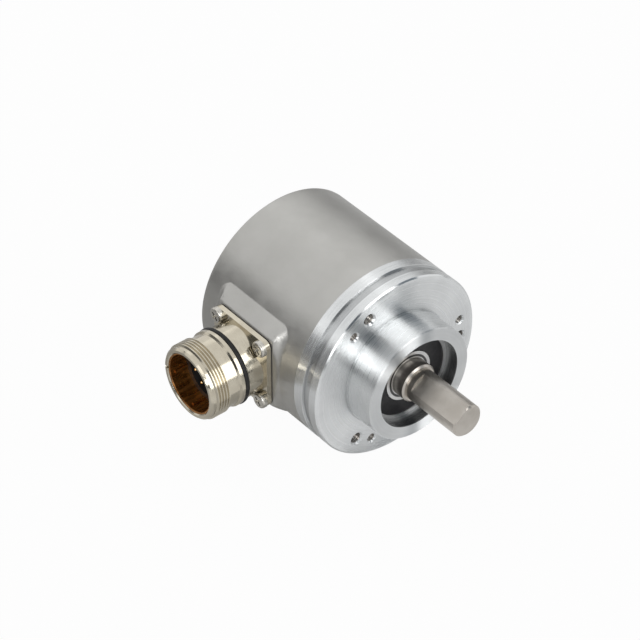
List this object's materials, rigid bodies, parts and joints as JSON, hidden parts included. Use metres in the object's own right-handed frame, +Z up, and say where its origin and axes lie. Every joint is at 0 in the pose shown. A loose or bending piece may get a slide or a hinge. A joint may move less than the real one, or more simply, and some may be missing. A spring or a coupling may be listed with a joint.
{
  "type": "incremental rotary encoder",
  "caption": "Incremental rotary encoder with a solid flatted shaft on ball bearings, a round clamping flange with collar, a cup housing and a radial round threaded connector.",
  "frame": {"origin": "centre of the flange's flat mounting face, on the shaft axis", "axes": "+X along the shaft out of the device, the connector points along -Y, +Z up"},
  "size_m": [0.0812, 0.0785, 0.058],
  "materials": {
    "flange_aluminium": "bright turned aluminium",
    "housing_coating": "satin silver-grey coating on cast metal",
    "shaft_steel": "ground stainless steel",
    "bearing_steel": "ground bearing steel",
    "ball_steel": "polished balls",
    "cage_plastic": "moulded natural polyamide",
    "seal_rubber": "black nitrile rubber",
    "spring_steel": "rolled spring steel",
    "hub_aluminium": "turned aluminium",
    "disc_steel": "etched thin steel",
    "screw_steel": "zinc-plated steel",
    "post_brass": "turned brass",
    "o_ring_rubber": "black rubber",
    "shell_nickel": "nickel-plated brass",
    "liner_bronze": "tarnished bronze spring sleeve",
    "insert_plastic": "black moulded insulator",
    "pin_gold": "gold-plated contacts",
    "board_laminate": "green solder mask on glass-fibre board",
    "chip_plastic": "black moulded packages",
    "bracket_plastic": "black moulded bracket",
    "lamp_lens": "clear red lens",
    "reticle_glass": "chromed glass mask",
    "ribbon_film": "amber flexible film"
  },
  "bodies": {
    "stator": {"board_components": "chip_plastic", "board_header": "bracket_plastic", "board_screws": "screw_steel", "connector_gasket": "seal_rubber", "connector_insert": "insert_plastic", "connector_liner": "liner_bronze", "connector_o_ring": "o_ring_rubber", "connector_screws": "screw_steel", "connector_shell": "shell_nickel", "contact_pins": "pin_gold", "flange": "flange_aluminium", "flex_ribbon": "ribbon_film", "front_outer_ring": "bearing_steel", "front_pillars": "post_brass", "front_seals": "seal_rubber", "housing": "housing_coating", "housing_posts": "post_brass", "housing_screws": "screw_steel", "housing_seal": "o_ring_rubber", "lamp": "lamp_lens", "lamp_bracket": "bracket_plastic", "output_board": "board_laminate", "rear_outer_ring": "bearing_steel", "rear_pillars": "post_brass", "rear_seals": "seal_rubber", "reticle": "reticle_glass", "sensor_board": "board_laminate", "sensor_chip": "chip_plastic", "solder_board": "board_laminate", "wave_spring": "spring_steel"},
    "rotor": {"shaft": "shaft_steel", "front_inner_ring": "bearing_steel", "rear_inner_ring": "bearing_steel", "circlip": "spring_steel", "disc_hub": "hub_aluminium", "hub_grub_screw": "screw_steel", "code_disc": "disc_steel", "disc_clamp_ring": "hub_aluminium"},
    "front_ball_set": {"front_cage": "cage_plastic", "front_balls": "ball_steel"},
    "rear_ball_set": {"rear_cage": "cage_plastic", "rear_balls": "ball_steel"}
  },
  "joints": [
    {"name": "shaft_spin", "type": "hinge", "parent": "stator", "child": "rotor", "pos_m": [0, 0, 0], "axis": [1, 0, 0], "continuous": true},
    {"name": "front_cage_spin", "type": "hinge", "parent": "stator", "child": "front_ball_set", "pos_m": [0.0014, 0, 0], "axis": [1, 0, 0], "continuous": true},
    {"name": "rear_cage_spin", "type": "hinge", "parent": "stator", "child": "rear_ball_set", "pos_m": [-0.0118, 0, 0], "axis": [1, 0, 0], "continuous": true}
  ],
  "couplings": [
    {"joint": "front_cage_spin", "follows": "shaft_spin", "ratio": 0.3825},
    {"joint": "rear_cage_spin", "follows": "shaft_spin", "ratio": 0.3825}
  ]
}
